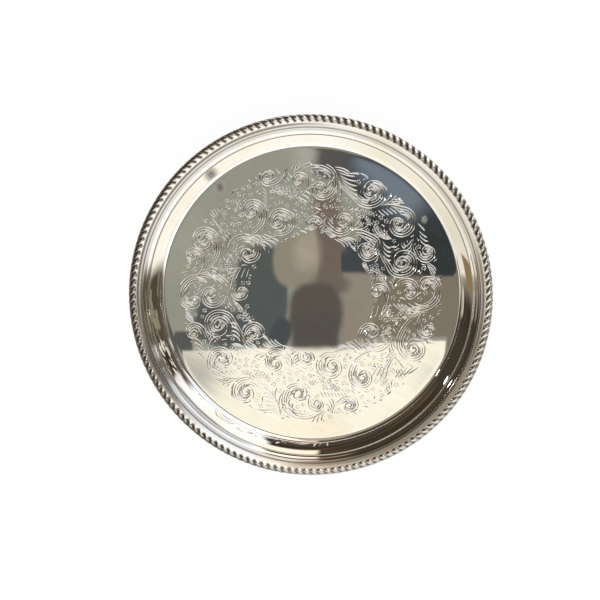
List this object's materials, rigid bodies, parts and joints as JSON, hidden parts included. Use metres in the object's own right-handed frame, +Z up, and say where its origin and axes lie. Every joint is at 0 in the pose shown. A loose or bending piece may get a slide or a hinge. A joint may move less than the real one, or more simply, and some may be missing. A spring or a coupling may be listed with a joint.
{
  "type": "gadrooned round tray",
  "caption": "Round plated tray for collecting or serving: flat floor, steep side, stepped shoulder and slanted gadroon border.",
  "frame": {"origin": "middle of the flat underside, on which the tray stands", "axes": "+Z up along the axis of the dish, out of its mouth; +X and +Y level, with nothing to tell them apart"},
  "size_m": [0.3048, 0.3048, 0.024],
  "materials": {
    "plated_dish": "polished",
    "plated_border": "polished",
    "solder": "satin"
  },
  "bodies": {
    "root": {"plate_body": "plated_dish", "gadroon_border": "plated_border", "border_solder_core": "solder"}
  },
  "joints": []
}
